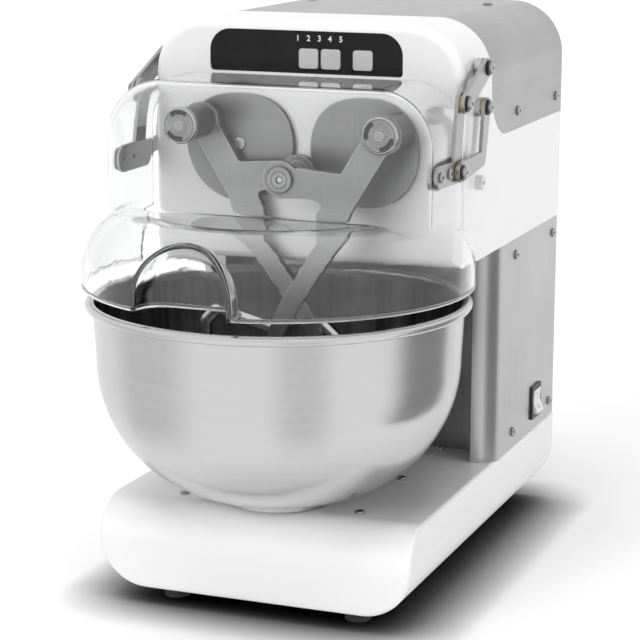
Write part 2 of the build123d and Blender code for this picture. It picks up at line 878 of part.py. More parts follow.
with BuildPart() as rear_bearing_plate:
    add(bearing_plate(rear_bearing_back))
    with BuildSketch(front_plane(rear_bearing_back)):
        with Locations((motor_x, motor_z)):
            Circle(head_top - 2 * shell_t - motor_z)
    extrude(amount=bearing_plate_t)
    with BuildSketch(front_plane(rear_bearing_back)):
        with Locations((motor_x, motor_z)):
            Circle(motor_hole_r)
    extrude(amount=bearing_plate_t, mode=Mode.SUBTRACT)
save(rear_bearing_plate.part, "rear_bearing_plate")

with BuildPart() as crank_bearings:
    for y_back in (bearing_back, rear_bearing_back):
        with BuildSketch(front_plane(y_back)):
            with Locations(*crank_points):
                Circle(bearing_r)
                Circle(shaft_r + run_fit, mode=Mode.SUBTRACT)
        extrude(amount=bearing_plate_t)
save(crank_bearings.part, "crank_bearings")

with BuildPart() as motor:
    with BuildSketch(front_plane(rear_bearing_back + motor_len)):
        with Locations((motor_x, motor_z)):
            Circle(motor_r - motor_fin_h)
            with PolarLocations(motor_r - motor_fin_h, motor_fin_count):
                Rectangle(2 * motor_fin_h, motor_fin_w)
    extrude(amount=motor_len - motor_cap_t)
    for cap_back in (rear_bearing_back + motor_cap_t, rear_bearing_back + motor_len + motor_cap_step):
        with BuildSketch(front_plane(cap_back)):
            with Locations((motor_x, motor_z)):
                Circle(motor_r - motor_cap_step)
        extrude(amount=motor_cap_t)
    with BuildSketch(front_plane(rear_bearing_back)):
        with Locations((motor_x, motor_z)):
            Circle(motor_shaft_r + run_fit)
    extrude(amount=-motor_cap_t, mode=Mode.SUBTRACT)
save(motor.part, "motor")

# Gears
pressure_angle = radians(20)


def involute_angle(angle):
    """Involute function of a pressure angle."""
    return tan(angle) - angle


def gear_outline(module, teeth, turn):
    """Spur gear outline about the origin with one tooth pointing at turn degrees."""
    pitch_r = module * teeth / 2
    base_r = pitch_r * cos(pressure_angle)
    tip_r = pitch_r + 0.8 * module
    root_r = pitch_r - 1.1 * module
    pitch_half = pi / (2 * teeth) - backlash / (2 * pitch_r) / 2
    flank_low = max(root_r, base_r)
    flank = [flank_low + (tip_r - flank_low) * step / 3 for step in range(4)]

    def half_angle(radius):
        return pitch_half + involute_angle(pressure_angle) - involute_angle(acos(min(1, base_r / radius)))

    tooth = [(radius, -half_angle(radius)) for radius in flank]
    if flank_low > root_r:
        tooth.insert(0, (root_r, -half_angle(flank_low)))
    tooth += [(radius, -angle) for radius, angle in reversed(tooth)]
    points = []
    for number in range(teeth):
        centre = radians(turn) + 2 * pi * number / teeth
        points += [(radius * cos(centre + angle), radius * sin(centre + angle)) for radius, angle in tooth]
    with BuildSketch() as outline:
        with BuildLine():
            Polyline(*points, close=True)
        make_face()
    return outline.sketch


def gear(x, z, y_front, width, module, teeth, turn, bore_r):
    """Spur gear on a shaft along Y."""
    with BuildPart() as wheel:
        with BuildSketch(front_plane(y_front + width)):
            with Locations((x, z)):
                add(gear_outline(module, teeth, turn))
                if bore_r:
                    Circle(bore_r, mode=Mode.SUBTRACT)
        extrude(amount=width)
    return wheel.part


half_pitch = 180 / gear_teeth
mesh_angle = degrees(atan2(motor_z - crank_z, motor_x + crank_x))
pinion_turn = mesh_angle + 180 + 180 / pinion_teeth
save(gear(-crank_x, crank_z, gear_front, gear_w, gear_module, gear_teeth, 0, shaft_r), "left_gear")
save(gear(crank_x, crank_z, gear_front, gear_w, gear_module, gear_teeth, half_pitch, shaft_r), "right_gear")
save(gear(-crank_x, crank_z, drive_front, drive_w, drive_module, drive_teeth, mesh_angle, shaft_r), "drive_gear")

with BuildPart() as motor_pinion:
    add(gear(motor_x, motor_z, drive_front, drive_w, drive_module, pinion_teeth, pinion_turn, 0))
    shaft_start = rear_bearing_back + motor_cap_t - motor_shaft_gap
    add(turned(motor_x, motor_z, [(shaft_start, drive_front + drive_w, motor_shaft_r)]))
save(motor_pinion.part, "motor_pinion")

# Cranks: shaft, disc, pin and the screw at the middle of each disc
for side, name in ((-1, "left"), (1, "right")):
    save(turned(side * crank_x, crank_z, [(shaft_end, disc_back, shaft_r)]), f"{name}_crank_shaft")

    with BuildPart() as crank_disc:
        add(turned(side * crank_x, crank_z, [(disc_back, disc_front, disc_r)]))
        chamfer(crank_disc.faces().sort_by(Axis.Y)[0].edges(), disc_t / 8)
    save(crank_disc.part, f"{name}_crank_disc")

    with BuildPart() as disc_screw:
        add(turned(side * crank_x, crank_z, [(disc_front, disc_front - disc_screw_h, disc_screw_r)]))
        chamfer(disc_screw.faces().sort_by(Axis.Y)[0].edges(), disc_screw_h / 3)
        with BuildSketch(front_plane(disc_front - disc_screw_h)):
            with Locations((side * crank_x, crank_z)):
                RegularPolygon(disc_screw_r / 2, 6)
        extrude(amount=-disc_screw_h / 2, mode=Mode.SUBTRACT)
    save(disc_screw.part, f"{name}_disc_screw")

    pin_steps = [
        (disc_front, disc_front - pin_flange_t, pin_flange_r),
        (disc_front - pin_flange_t, knob_back - knob_bore_depth + knob_gap, pin_r),
    ]
    save(turned(side * knob_x, knob_z, pin_steps), f"{name}_crank_pin")


# Kneading arms, mirror images of each other with the plate at the back or front of the hub
def kneading_arm(side, plate_back, pivot_hole_r, blade, end_x, reach, tool_drop, tool_h):
    """Arm plate with hub tube, crossing blade and bent rod tool, welded into one piece."""
    knob = (side * knob_x, knob_z)
    pivot = (0, pivot_z)
    tool_top = crank_z - tool_drop
    tool_low = tool_top - tool_h
    outline = [(side * (knob_x - arm_neck_in[0]), knob_z + arm_neck_in[1])]
    outline += [(side * x, crank_z - drop) for x, drop in (*arm_yoke, *blade, arm_elbow)]
    outline += [(side * (knob_x + arm_neck_out[0]), knob_z - arm_neck_out[1])]
    with BuildPart() as arm:
        with BuildSketch(front_plane(plate_back)):
            with BuildLine():
                FilletPolyline(*outline, radius=arm_corner_r, close=True)
            make_face()
            with Locations(knob):
                Circle(eye_r)
            with Locations(pivot):
                Circle(pivot_eye_r)
        extrude(amount=arm_t)
        add(turned(*knob, [(hub_back, hub_front, hub_r)]))
        with BuildLine(front_plane(plate_back - arm_t / 2)) as rod:
            FilletPolyline(
                (-side * end_x, blade_end_z + tool_weld_up),
                (-side * (reach - tool_bend_r), tool_top),
                (-side * reach, tool_top - tool_bend_r),
                (-side * reach, tool_top - tool_h / 2),
                (-side * (reach + end_x) / 2, tool_low),
                (-side * end_x, tool_low),
                (-side * end_x, blade_end_z - tool_weld_down),
                radius=tool_bend_r * 0.4,
            )
        with BuildSketch(Plane(origin=rod.wire() @ 0, z_dir=rod.wire() % 0)):
            Circle(tool_r)
        sweep()
        add(turned(*knob, [(hub_back, hub_front, bush_r)]), mode=Mode.SUBTRACT)
        add(turned(*pivot, [(plate_back, plate_back - arm_t, pivot_hole_r)]), mode=Mode.SUBTRACT)
    return arm.part


left_tool = (tool_reach_left, tool_drop_left, tool_h_left)
right_tool = (tool_reach_right, tool_drop_right, tool_h_right)
left_arm_sizes = (left_plate_back, pivot_bearing_r, left_blade, left_blade_end, *left_tool)
right_arm_sizes = (right_plate_back, pivot_pin_r, right_blade, right_blade_end, *right_tool)
save(kneading_arm(-1, *left_arm_sizes), "left_arm")
save(kneading_arm(1, *right_arm_sizes), "right_arm")

knob_slot_arc = CenterArc((0, 0), knob_slot_r, -knob_slot_angle / 2, knob_slot_angle)
for side, name, knob_turn in ((-1, "left", left_knob_turn), (1, "right", right_knob_turn)):
    with BuildPart() as arm_bush:
        add(turned(side * knob_x, knob_z, [(hub_back, hub_front, bush_r)]))
        add(turned(side * knob_x, knob_z, [(hub_back, hub_front, pin_r + run_fit)]), mode=Mode.SUBTRACT)
    save(arm_bush.part, f"{name}_arm_bush")

    with BuildPart() as lock_knob:
        add(turned(side * knob_x, knob_z, [(knob_back, knob_back - knob_t, knob_r)]))
        chamfer(lock_knob.faces().sort_by(Axis.Y)[0].edges(), knob_t / 5)
        add(turned(side * knob_x, knob_z, [(knob_back - knob_t, knob_back - knob_t - knob_boss_h, knob_boss_r)]))
        with BuildSketch(front_plane(knob_back - knob_t)):
            with Locations((side * knob_x, knob_z)):
                for apart in (-knob_slot_apart, knob_slot_apart):
                    SlotArc(knob_slot_arc, knob_slot_w, rotation=knob_turn + apart)
        extrude(amount=-knob_slot_depth, mode=Mode.SUBTRACT)
        knob_bore = [(knob_back, knob_back - knob_bore_depth, pin_r + run_fit)]
        add(turned(side * knob_x, knob_z, knob_bore), mode=Mode.SUBTRACT)
    save(lock_knob.part, f"{name}_lock_knob")

# Common pivot of the arms: pin and spacer on the front arm, bearing ring in the rear arm
pivot_front = right_plate_back - arm_t
left_plate_front = left_plate_back - arm_t

with BuildPart() as pivot_pin:
    pivot_steps = [
        (left_plate_front - arm_gap, right_plate_back, pivot_spacer_r),
        (right_plate_back, pivot_front, pivot_pin_r),
        (pivot_front, pivot_front - pivot_head_h, pivot_head_r),
    ]
    add(turned(0, pivot_z, pivot_steps))
    chamfer(pivot_pin.faces().sort_by(Axis.Y)[0].edges(), pivot_head_h / 4)
    with BuildSketch(front_plane(pivot_front - pivot_head_h)):
        with Locations((0, pivot_z)):
            RegularPolygon(pivot_pin_r / 2, 6)
    extrude(amount=-pivot_head_h / 2, mode=Mode.SUBTRACT)
save(pivot_pin.part, "pivot_pin")

with BuildPart() as pivot_bearing:
    add(turned(0, pivot_z, [(left_plate_back, left_plate_front, pivot_bearing_r)]))
    add(turned(0, pivot_z, [(left_plate_back, left_plate_front, pivot_pin_r)]), mode=Mode.SUBTRACT)
save(pivot_bearing.part, "pivot_bearing")


# Clear lid
def lid_skirt(inset):
    """Round skirt over the bowl with a wide shoulder, cut off flat at the back."""
    with BuildPart() as skirt:
        with BuildSketch(Plane.XY.offset(lid_low)):
            with Locations((0, bowl_y)):
                Circle(skirt_r - inset)
        extrude(amount=shelf_z - inset - lid_low)
        fillet(skirt.faces().sort_by(Axis.Z)[-1].edges(), shoulder_r - inset)
        with BuildSketch(Plane.XY.offset(lid_low)):
            with Locations((0, lid_back + skirt_r)):
                Rectangle(2 * skirt_r, 2 * skirt_r)
        extrude(amount=shelf_z - lid_low, mode=Mode.SUBTRACT)
    return skirt.part


def lid_niche(inset):
    """Room of the arched recess with a rounded back, its walls moved out by inset."""
    with BuildPart() as room:
        with BuildSketch(front_plane(niche_back + inset)):
            with Locations((niche_x, niche_spring_z)):
                Circle(niche_r + inset)
            with Locations((niche_x, niche_spring_z)):
                Rectangle(2 * (niche_r + inset), 2 * niche_r, align=(Align.CENTER, Align.MAX))
        extrude(amount=niche_back + inset - bowl_y + skirt_r)
        niche_back_edges = room.faces().sort_by(Axis.Y)[-1].edges()
        fillet(niche_back_edges.sort_by(Axis.Z)[1:], niche_back_r + inset)
    return room.part


def lid_form(inset):
    """Hood over the arms joined to a round skirt over the bowl, its walls moved in by inset."""
    front = lid_front + inset
    low = lid_low
    with BuildPart() as form:
        extrude(
            to_extrude=front_outline(lid_back, lid_half_w - inset, low, lid_top - inset, lid_corner_r - inset),
            amount=lid_back - front,
        )
        hood_front = form.faces().sort_by(Axis.Y)[0].edges()
        fillet(hood_front.sort_by(Axis.Z)[1:], lid_edge_r - inset)
        add(lid_skirt(inset))
        fillet(form.edges(Select.NEW), cove_r + inset)
        add(lid_niche(inset), mode=Mode.SUBTRACT)
    return form.part


bracket_in = lid_half_w
lid_inner_x = lid_half_w - lid_t

with BuildPart() as lid:
    add(lid_form(0))
    add(lid_form(lid_t), mode=Mode.SUBTRACT)
    with BuildSketch(side_plane(-bracket_out)):
        with Locations(*lid_screw_points):
            Circle(screw_shank_r + hole_gap)
    extrude(amount=2 * bracket_out, mode=Mode.SUBTRACT)
save(lid.part, "lid")

with BuildPart() as lid_bracket:
    with BuildSketch(side_plane(bracket_in)):
        add(bar(upper_lid_pivot, bracket_r, lower_lid_pivot, bracket_r))
        add(bar(lower_lid_pivot, bracket_r, lid_screw_points[0], bracket_r))
        with Locations(*lid_screw_points):
            Circle(screw_shank_r + hole_gap, mode=Mode.SUBTRACT)
        with Locations(upper_lid_pivot):
            Circle(stud_r, mode=Mode.SUBTRACT)
    extrude(amount=bracket_t)
save(both_sides(lid_bracket.part), "lid_brackets")

with BuildPart() as lid_clamp:
    with BuildSketch(side_plane(lid_inner_x)):
        add(bar(clamp_points[0], clamp_r, clamp_points[1], clamp_r))
        with Locations(*lid_screw_points):
            Circle(screw_shank_r + hole_gap, mode=Mode.SUBTRACT)
    extrude(amount=-bracket_t)
save(both_sides(lid_clamp.part), "lid_clamp_plates")

with BuildPart() as lid_screw:
    for y, z in lid_screw_points:
        add(button_screw(Plane(origin=(bracket_out, y, z), x_dir=(0, 1, 0), z_dir=(1, 0, 0))))
save(both_sides(lid_screw.part), "lid_screws")


# Lid links and their pivots
def pivot_stud(point, x_in, head_in):
    """Round-head pivot screw along X with a hex socket."""
    with BuildPart() as stud:
        add(side_turned(point, [(x_in, head_in, stud_r), (head_in, head_in + stud_head_h, stud_head_r)]))
        fillet(stud.faces().sort_by(Axis.X)[-1].edges(), stud_head_h / 2)
        with BuildSketch(side_plane(head_in + stud_head_h)):
            with Locations(point):
                RegularPolygon(stud_r / 2, 6)
        extrude(amount=-stud_head_h / 2, mode=Mode.SUBTRACT)
    return stud.part


def ring(point, x_in, thickness, radius):
    """Washer on a pivot screw along X."""
    with BuildPart() as washer:
        add(side_turned(point, [(x_in, x_in + thickness, radius)]))
        add(side_turned(point, [(x_in, x_in + thickness, stud_r)]), mode=Mode.SUBTRACT)
    return washer.part


def link(points, radii):
    """Flat link through points with running holes at both ends."""
    with BuildPart() as strip:
        with BuildSketch(side_plane(link_in)):
            for start, start_r, end, end_r in zip(points, radii, points[1:], radii[1:]):
                add(bar(start, start_r, end, end_r))
            for point, radius in zip(points, radii):
                if radius == link_end_r:
                    with Locations(point):
                        Circle(radius)
            with Locations(points[0], points[-1]):
                Circle(stud_r + run_fit, mode=Mode.SUBTRACT)
        extrude(amount=link_t)
    return strip.part


head_pivots = (upper_head_pivot, lower_head_pivot)
upper_points = (upper_head_pivot, upper_lid_pivot)
lower_points = (lower_head_pivot, lower_link_corner, lower_lid_pivot)
save(both_sides(link(upper_points, (link_end_r, link_end_r))), "upper_links")
save(both_sides(link(lower_points, (link_end_r, link_bar_r, link_end_r))), "lower_links")

with BuildPart() as link_standoffs:
    for point in head_pivots:
        add(ring(point, half_w, bracket_out - half_w, standoff_r))
    bumper_steps = [(half_w - shell_t, half_w, stud_r), (half_w, half_w + bumper_len, bumper_r)]
    add(side_turned(bumper_point, bumper_steps))
    bumper_hole = [(half_w + bumper_len / 2, half_w + bumper_len, bumper_hole_r)]
    add(side_turned(bumper_point, bumper_hole), mode=Mode.SUBTRACT)
save(both_sides(link_standoffs.part), "link_standoffs")

with BuildPart() as head_pivot_screws:
    for point in head_pivots:
        add(pivot_stud(point, half_w - shell_t, stud_head_in))
save(both_sides(head_pivot_screws.part), "head_pivot_screws")

with BuildPart() as head_pivot_washers:
    for point in head_pivots:
        add(ring(point, bracket_out, washer_t, washer_r))
        add(ring(point, spacer_in, spacer_t, spacer_r))
save(both_sides(head_pivot_washers.part), "head_pivot_washers")

save(both_sides(pivot_stud(upper_lid_pivot, bracket_in, stud_head_in)), "lid_pivot_screws")

with BuildPart() as lid_pivot_washers:
    add(ring(upper_lid_pivot, bracket_out, washer_t, washer_r))
    add(ring(upper_lid_pivot, spacer_in, spacer_t, spacer_r))
save(both_sides(lid_pivot_washers.part), "lid_pivot_washers")

lower_washer_in = link_in - washer_t
save(both_sides(pivot_stud(lower_lid_pivot, lower_washer_in, link_out + spacer_t)), "lower_pivot_screws")

with BuildPart() as lower_pivot_washers:
    add(ring(lower_lid_pivot, lower_washer_in, washer_t, washer_r))
    add(ring(lower_lid_pivot, link_out, spacer_t, spacer_r))
save(both_sides(lower_pivot_washers.part), "lower_pivot_washers")
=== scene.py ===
"""Looks, light and camera for the bench-top double-arm dough mixer, in metres."""
import math

import bpy
from mathutils import Matrix, Vector


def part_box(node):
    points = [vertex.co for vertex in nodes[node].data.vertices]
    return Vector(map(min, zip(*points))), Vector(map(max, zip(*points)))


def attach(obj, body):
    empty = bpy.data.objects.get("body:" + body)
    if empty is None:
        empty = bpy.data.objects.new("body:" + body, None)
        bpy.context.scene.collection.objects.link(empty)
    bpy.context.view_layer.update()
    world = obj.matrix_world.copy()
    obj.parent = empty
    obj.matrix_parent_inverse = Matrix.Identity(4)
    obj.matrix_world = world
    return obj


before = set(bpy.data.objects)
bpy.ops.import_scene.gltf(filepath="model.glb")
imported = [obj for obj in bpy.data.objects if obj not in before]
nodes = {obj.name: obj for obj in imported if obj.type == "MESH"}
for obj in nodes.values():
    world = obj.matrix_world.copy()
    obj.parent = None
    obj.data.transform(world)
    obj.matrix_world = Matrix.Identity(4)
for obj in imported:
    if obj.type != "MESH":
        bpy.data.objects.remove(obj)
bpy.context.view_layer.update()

# Colour sockets of a Mix node, and the span that most noise values lie in
mix_a, mix_b, mix_out = 6, 7, 2
noise_low, noise_high = 0.3, 0.7


# Scene helpers
def add_object(name, data):
    thing = bpy.data.objects.new(name, data)
    bpy.context.scene.collection.objects.link(thing)
    return thing


def add_mesh(name, verts, faces, material):
    mesh = bpy.data.meshes.new(name)
    mesh.from_pydata(verts, [], faces)
    mesh.materials.append(material)
    return add_object(name, mesh)


def at_node(name, point):
    """A point of the frame in the coordinates of one node."""
    return nodes[name].matrix_world.inverted() @ Vector(point)


def middle_of(name):
    low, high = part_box(name)
    return [(a + b) / 2 for a, b in zip(low, high)]


def grey(value):
    return (value, value, value)


# Node helpers
def math_node(tree, operation, first, second=0.0):
    """The value of a Math node. Each input is a number or a socket."""
    node = tree.nodes.new("ShaderNodeMath")
    node.operation = operation
    for socket, value in zip(node.inputs, (first, second)):
        if isinstance(value, (int, float)):
            socket.default_value = value
        else:
            tree.links.new(value, socket)
    return node.outputs["Value"]


class Shader:
    """A material being built: a Principled shader and the texture nodes that feed it."""

    def __init__(self, name, color, metallic=0.0, roughness=0.5):
        self.material = bpy.data.materials.new(name)
        self.material.use_nodes = True
        self.tree = self.material.node_tree
        self.bsdf = self.tree.nodes["Principled BSDF"]
        self.bsdf.inputs["Base Color"].default_value = (*color, 1)
        self.bsdf.inputs["Metallic"].default_value = metallic
        self.bsdf.inputs["Roughness"].default_value = roughness
        self.place = self.add("ShaderNodeTexCoord").outputs["Object"]

    def add(self, kind, **settings):
        node = self.tree.nodes.new(kind)
        for key, value in settings.items():
            setattr(node, key, value)
        return node

    def link(self, source, target):
        self.tree.links.new(source, target)

    def set(self, **values):
        for key, value in values.items():
            self.bsdf.inputs[key.replace("_", " ")].default_value = value

    def math(self, operation, first, second=0.0):
        return math_node(self.tree, operation, first, second)

    def vector(self, operation, first, second=None):
        """A Vector Math node. second is a socket or a fixed vector."""
        node = self.add("ShaderNodeVectorMath", operation=operation)
        self.link(first, node.inputs[0])
        if isinstance(second, tuple):
            node.inputs[1].default_value = second
        elif second is not None:
            self.link(second, node.inputs[1])
        return node

    def axis(self, letter):
        split = self.add("ShaderNodeSeparateXYZ")
        self.link(self.place, split.inputs["Vector"])
        return split.outputs[letter]

    def from_line(self, centre, across):
        """Object coordinates from a centre line, without the part along it."""
        shifted = self.vector("SUBTRACT", self.place, centre).outputs["Vector"]
        return self.vector("MULTIPLY", shifted, across).outputs["Vector"]

    def stretched(self, scale):
        """Object coordinates scaled along each axis, for grain that runs one way."""
        mapping = self.add("ShaderNodeMapping")
        mapping.inputs["Scale"].default_value = scale
        self.link(self.place, mapping.inputs["Vector"])
        return mapping.outputs["Vector"]

    def noise(self, scale, detail=4.0, vector=None):
        node = self.add("ShaderNodeTexNoise")
        node.inputs["Scale"].default_value = scale
        node.inputs["Detail"].default_value = detail
        self.link(vector or self.place, node.inputs["Vector"])
        return node.outputs["Fac"]

    def remap(self, value, low, high):
        """Noise spread between low and high."""
        node = self.add("ShaderNodeMapRange")
        node.inputs["From Min"].default_value = noise_low
        node.inputs["From Max"].default_value = noise_high
        node.inputs["To Min"].default_value = low
        node.inputs["To Max"].default_value = high
        self.link(value, node.inputs["Value"])
        return node.outputs["Result"]

    def smooth_step(self, value, start, end):
        """0 before start and 1 past end, with a soft change between."""
        node = self.add("ShaderNodeMapRange", interpolation_type="SMOOTHSTEP")
        node.inputs["From Min"].default_value = start
        node.inputs["From Max"].default_value = end
        self.link(value, node.inputs["Value"])
        return node.outputs["Result"]

    def ramp(self, value, dark, light):
        """A Color Ramp from dark to light over the span of the noise."""
        node = self.add("ShaderNodeValToRGB")
        for stop, position, color in zip(node.color_ramp.elements, (noise_low, noise_high), (dark, light)):
            stop.position = position
            stop.color = (*color, 1)
        self.link(value, node.inputs["Fac"])
        return node

    def tint(self, value, dark, light):
        """Colours the surface from dark to light."""
        node = self.ramp(value, dark, light)
        self.link(node.outputs["Color"], self.bsdf.inputs["Base Color"])
        return node

    def over(self, color, mask, tone):
        """A grey laid over a colour where the mask is 1."""
        node = self.add("ShaderNodeMix", data_type="RGBA")
        self.link(mask, node.inputs["Factor"])
        self.link(color, node.inputs[mix_a])
        node.inputs[mix_b].default_value = (*grey(tone), 1)
        return node.outputs[mix_out]

    def grimed(self, color, reach, depth):
        """Painted shade: a colour darkened where other surfaces stand close."""
        near = self.add("ShaderNodeAmbientOcclusion", samples=6)
        near.inputs["Distance"].default_value = reach
        shade = self.math("ADD", depth, self.math("MULTIPLY", near.outputs["AO"], 1.0 - depth))
        node = self.add("ShaderNodeMix", data_type="RGBA", blend_type="MULTIPLY")
        node.inputs["Factor"].default_value = 1.0
        self.link(color, node.inputs[mix_a])
        self.link(shade, node.inputs[mix_b])
        return node.outputs[mix_out]

    def bevel(self, radius):
        """Normals as if edges were rounded by the radius."""
        node = self.add("ShaderNodeBevel", samples=6)
        node.inputs["Radius"].default_value = radius
        return node.outputs["Normal"]

    def corners(self, reach):
        """1 along sharp edges, 0 on the faces between them."""
        true_normal = self.add("ShaderNodeNewGeometry").outputs["Normal"]
        bend = self.vector("DOT_PRODUCT", self.bevel(reach), true_normal).outputs["Value"]
        return self.smooth_step(bend, start=0.99, end=0.86)

    def rough(self, value, low, high):
        self.link(self.remap(value, low, high), self.bsdf.inputs["Roughness"])

    def bump(self, value, strength, distance, edge=0.0):
        """Fine relief, with edges shaded as if rounded by the given radius."""
        node = self.add("ShaderNodeBump")
        if edge:
            self.link(self.bevel(edge), node.inputs["Normal"])
        node.inputs["Strength"].default_value = strength
        node.inputs["Distance"].default_value = distance
        self.link(value, node.inputs["Height"])
        self.link(node.outputs["Normal"], self.bsdf.inputs["Normal"])

    def spun(self, axis, amount):
        """Reflections drawn out round an axis, as turning or polishing leaves them."""
        node = self.add("ShaderNodeTangent", direction_type="RADIAL", axis=axis)
        self.link(node.outputs["Tangent"], self.bsdf.inputs["Tangent"])
        self.set(Anisotropic=amount)


# Kinds of finish
def brushed(name, dark, light, stretch, rough_low=0.26, rough_high=0.4, edge=None, lighter_below=None):
    """Brushed stainless steel with its grain along the axis that stretch scales least.

    edge is the grey painted as shade on the side faces, those not facing front or back; when given,
    painted shade where other surfaces stand close and a painted highlight along sharp edges come too. The
    last argument is (start, end, grey): heights between which the steel turns to that grey.
    """
    shader = Shader(name, grey(light), metallic=1.0)
    grain = shader.noise(1.0, 6.0, shader.stretched(stretch))
    patches = shader.noise(14.0, 1.0)
    drift = shader.math("MULTIPLY", shader.math("ADD", grain, patches), 0.5)
    color = shader.ramp(drift, grey(dark), grey(light)).outputs["Color"]
    if lighter_below:
        start, end, lower_grey = lighter_below
        color = shader.over(color, shader.smooth_step(shader.axis("Z"), start, end), lower_grey)
    if edge:
        # Painted shade: side faces that don't face front or back take the edge grey, and the steel darkens
        # where other surfaces stand close
        sides = shader.add("ShaderNodeSeparateXYZ")
        shader.link(shader.add("ShaderNodeTexCoord").outputs["Normal"], sides.inputs["Vector"])
        painted_shade_sides = shader.math("LESS_THAN", shader.math("ABSOLUTE", sides.outputs["Y"]), 0.5)
        color = shader.grimed(shader.over(color, painted_shade_sides, edge), reach=0.03, depth=0.1)
        # Painted highlight: a light grey line along sharp edges
        color = shader.over(color, shader.corners(reach=0.0011), 0.7)
    shader.link(color, shader.bsdf.inputs["Base Color"])
    shader.rough(grain, rough_low, rough_high)
    shader.bump(grain, strength=0.06, distance=0.0002, edge=0.0007)
    return shader.material


def moulded(name, dark, light, rough_low, rough_high, grain=900.0, strength=0.05, gloss=0.5):
    """Moulded plastic with a fine even grain."""
    shader = Shader(name, light)
    speck = shader.noise(grain, 3.0)
    shader.tint(shader.noise(40.0, 3.0), dark, light)
    shader.rough(speck, rough_low, rough_high)
    shader.bump(speck, strength, distance=0.0002)
    shader.set(Specular_IOR_Level=gloss)
    return shader.material


def machined(name, color, rough_low=0.25, rough_high=0.38):
    """Plain turned or milled metal."""
    shader = Shader(name, color, metallic=1.0)
    grain = shader.noise(1.0, 5.0, shader.stretched((700, 90, 700)))
    tones = shader.ramp(grain, tuple(0.82 * c for c in color), color).outputs["Color"]
    # Painted shade in tight creases, where other surfaces stand within 2 mm
    shader.link(shader.grimed(tones, reach=0.002, depth=0.15), shader.bsdf.inputs["Base Color"])
    shader.rough(grain, rough_low, rough_high)
    shader.bump(grain, strength=0.06, distance=0.0001, edge=0.0004)
    return shader.material


def two_tone(name, coordinate, step, near, far, near_metal, far_metal):
    """Two finishes on one node, split where coordinate passes step on either side."""
    shader = Shader(name, near)
    beyond = shader.math("GREATER_THAN", shader.math("ABSOLUTE", shader.axis(coordinate)), step)
    shader.tint(beyond, near, far).color_ramp.interpolation = "CONSTANT"
    metal = shader.math("ADD", near_metal, shader.math("MULTIPLY", beyond, far_metal - near_metal))
    shader.link(metal, shader.bsdf.inputs["Metallic"])
    shader.rough(shader.noise(700.0, 3.0), 0.25, 0.4)
    return shader.material


def turned(name, node, bands, slot_depth=0.0, slot_r=0.0):
    """Turned steel. bands is a list of (radius, grey), each grey used out to its radius."""
    shader = Shader(name, grey(0.5), metallic=1.0)
    middle = at_node(node, middle_of(node))
    radial = shader.from_line((middle.x, 0, middle.z), (1, 0, 1))
    radius = shader.vector("LENGTH", radial).outputs["Value"]
    reach = bands[-1][0]
    rings = shader.ramp(shader.math("DIVIDE", radius, reach), grey(bands[0][1]), grey(bands[-1][1]))
    rings.color_ramp.interpolation = "CONSTANT"
    rings.color_ramp.elements[0].position = 0.0
    rings.color_ramp.elements[1].position = bands[-2][0] / reach
    for (inner, _), (_, tone) in zip(bands[:-2], bands[1:-1]):
        rings.color_ramp.elements.new(inner / reach).color = (*grey(tone), 1)
    color = rings.outputs["Color"]
    # Painted shade: slot floors, sunk below the face, painted near black
    if slot_depth:
        face = at_node(node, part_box(node)[0]).y
        sunk = shader.math("GREATER_THAN", shader.axis("Y"), face + slot_depth)
        near = shader.math("LESS_THAN", radius, slot_r)
        color = shader.over(color, shader.math("MULTIPLY", sunk, near), 0.03)
    # Painted shade where other surfaces stand within 1 cm
    shader.link(shader.grimed(color, reach=0.01, depth=0.3), shader.bsdf.inputs["Base Color"])
    groove = shader.add("ShaderNodeTexNoise", noise_dimensions="1D")
    groove.inputs["Scale"].default_value = 1800.0
    shader.link(radius, groove.inputs["W"])
    shader.rough(groove.outputs["Fac"], 0.22, 0.34)
    shader.bump(groove.outputs["Fac"], strength=0.2, distance=0.0001, edge=0.0007)
    shader.spun("Y", 0.6)
    return shader.material


# Painted casings
paint = Shader("white_gloss_paint", (0.9, 0.9, 0.895))
peel = paint.noise(420.0, 2.0)
paint.tint(paint.noise(9.0, 3.0), (0.915, 0.917, 0.915), (0.93, 0.93, 0.926))
paint.rough(peel, 0.2, 0.27)
paint.bump(peel, strength=0.03, distance=0.0002)
paint.set(Coat_Weight=0.4, Coat_Roughness=0.08)
white_paint = paint.material

# Steel sheet and plate
grain_along_y, grain_upright = (900, 6, 900), (900, 900, 6)
steel_along_y = brushed("brushed_steel_cover", 0.35, 0.42, grain_along_y)
steel_upright = brushed("brushed_steel_column", 0.42, 0.49, grain_upright)
# Painted shade: a darker copy of the column steel for the front plate in the recess behind the bowl
steel_column_shaded = brushed("brushed_steel_column_shaded", 0.3, 0.36, grain_upright)
steel_disc = brushed("brushed_steel_disc", 0.25, 0.33, (900, 900, 9), 0.3, 0.42, edge=0.04)
steel_link = brushed("satin_steel_link", 0.36, 0.44, (500, 120, 120), 0.26, 0.36)
lighten_from_z, lighten_to_z = 0.34, 0.24


def arm_steel(name):
    """Satin plate with painted shade on its side faces, a lighter grey towards the rod tool."""
    start, end = (at_node(name, (0, 0, z)).z for z in (lighten_from_z, lighten_to_z))
    return brushed(f"{name}_steel", 0.27, 0.36, (500, 500, 60), 0.28, 0.38,
                   edge=0.1, lighter_below=(start, end, 0.72))


